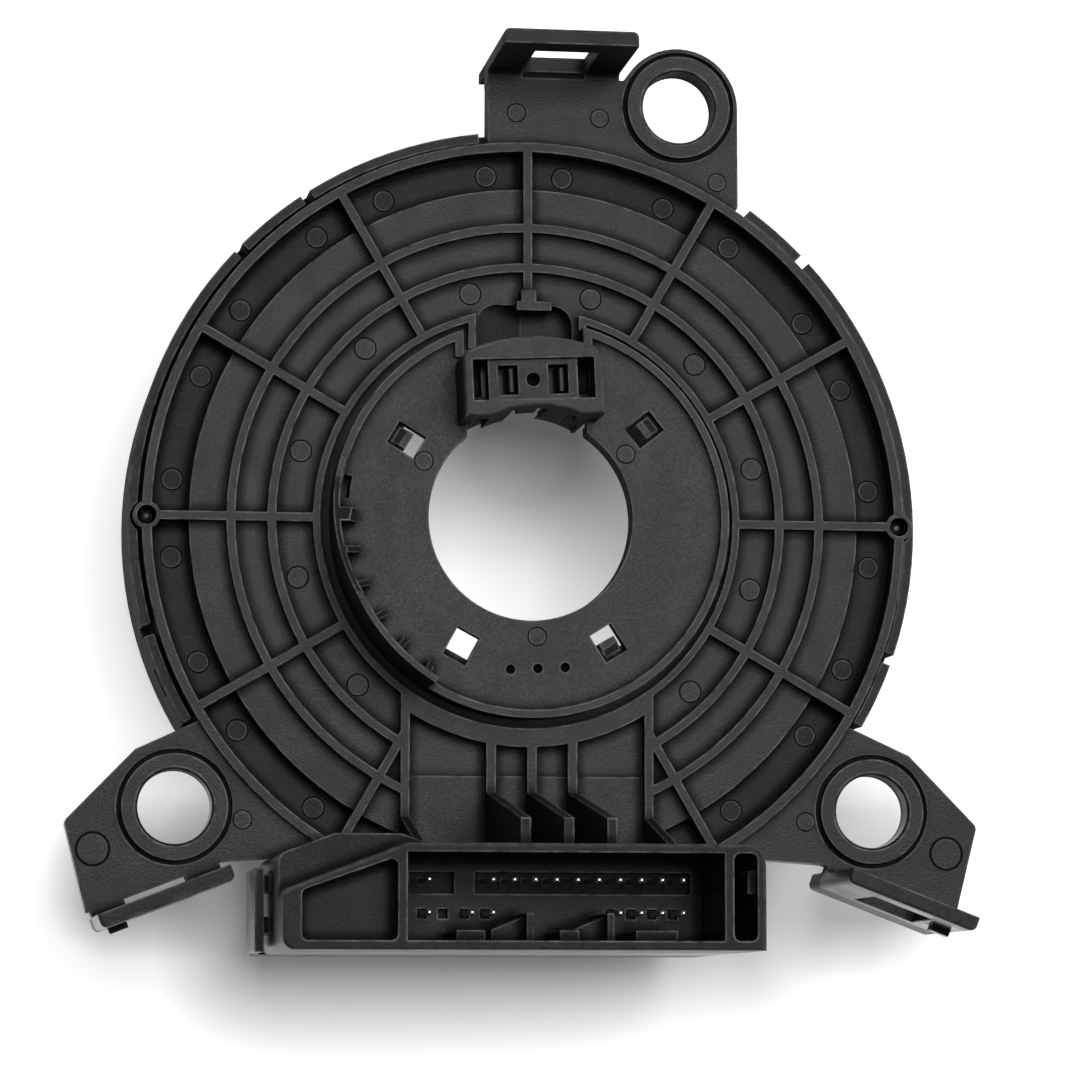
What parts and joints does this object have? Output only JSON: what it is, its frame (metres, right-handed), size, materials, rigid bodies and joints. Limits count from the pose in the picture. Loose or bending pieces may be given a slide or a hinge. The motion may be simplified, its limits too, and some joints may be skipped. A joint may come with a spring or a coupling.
{
  "type": "steering clock spring",
  "caption": "Spiral cable unit that carries airbag and switch circuits between a turning steering wheel and the fixed column, with ears, clip loops and a deep connector.",
  "frame": {"origin": "on the axis of rotation, in the plane of the rear housing's rib tops", "axes": "+Z along the axis towards the steering column, +Y towards the single top ear"},
  "size_m": [0.115, 0.1157, 0.064],
  "materials": {
    "housing_plastic": "fine-grained black moulding",
    "case_plastic": "smooth satin black moulding",
    "rotor_plastic": "fine-grained black moulding",
    "insert_plastic": "dark grey moulding",
    "carrier_plastic": "black moulding",
    "slip_film": "pale low-friction film",
    "ribbon_film": "amber ribbon film",
    "tinned_terminal": "tin-plated",
    "spring_steel": "dark burnished strip"
  },
  "bodies": {
    "stator": {"rear_housing": "housing_plastic", "front_case": "case_plastic", "rear_sliding_sheet": "slip_film", "front_sliding_sheet": "slip_film", "terminal_carrier": "carrier_plastic", "upper_terminals": "tinned_terminal", "lower_terminals": "tinned_terminal", "connector_side_latch": "case_plastic", "outer_cable_terminal": "carrier_plastic", "flat_cable": "ribbon_film"},
    "rotor": {"rotor_hub": "rotor_plastic", "rotor_rear_disc": "rotor_plastic", "rear_socket": "rotor_plastic", "contact_insert": "insert_plastic", "left_spring_contact": "spring_steel", "right_spring_contact": "spring_steel", "inner_cable_terminal": "carrier_plastic", "airbag_socket": "insert_plastic", "airbag_socket_pins": "tinned_terminal", "switch_socket": "insert_plastic", "switch_socket_pins": "tinned_terminal"}
  },
  "joints": [
    {"name": "rotor_turn", "type": "hinge", "parent": "stator", "child": "rotor", "pos_m": [0, 0, 0], "axis": [0, 0, 1], "range_deg": [-900, 900], "deforming": ["flat_cable"]}
  ]
}
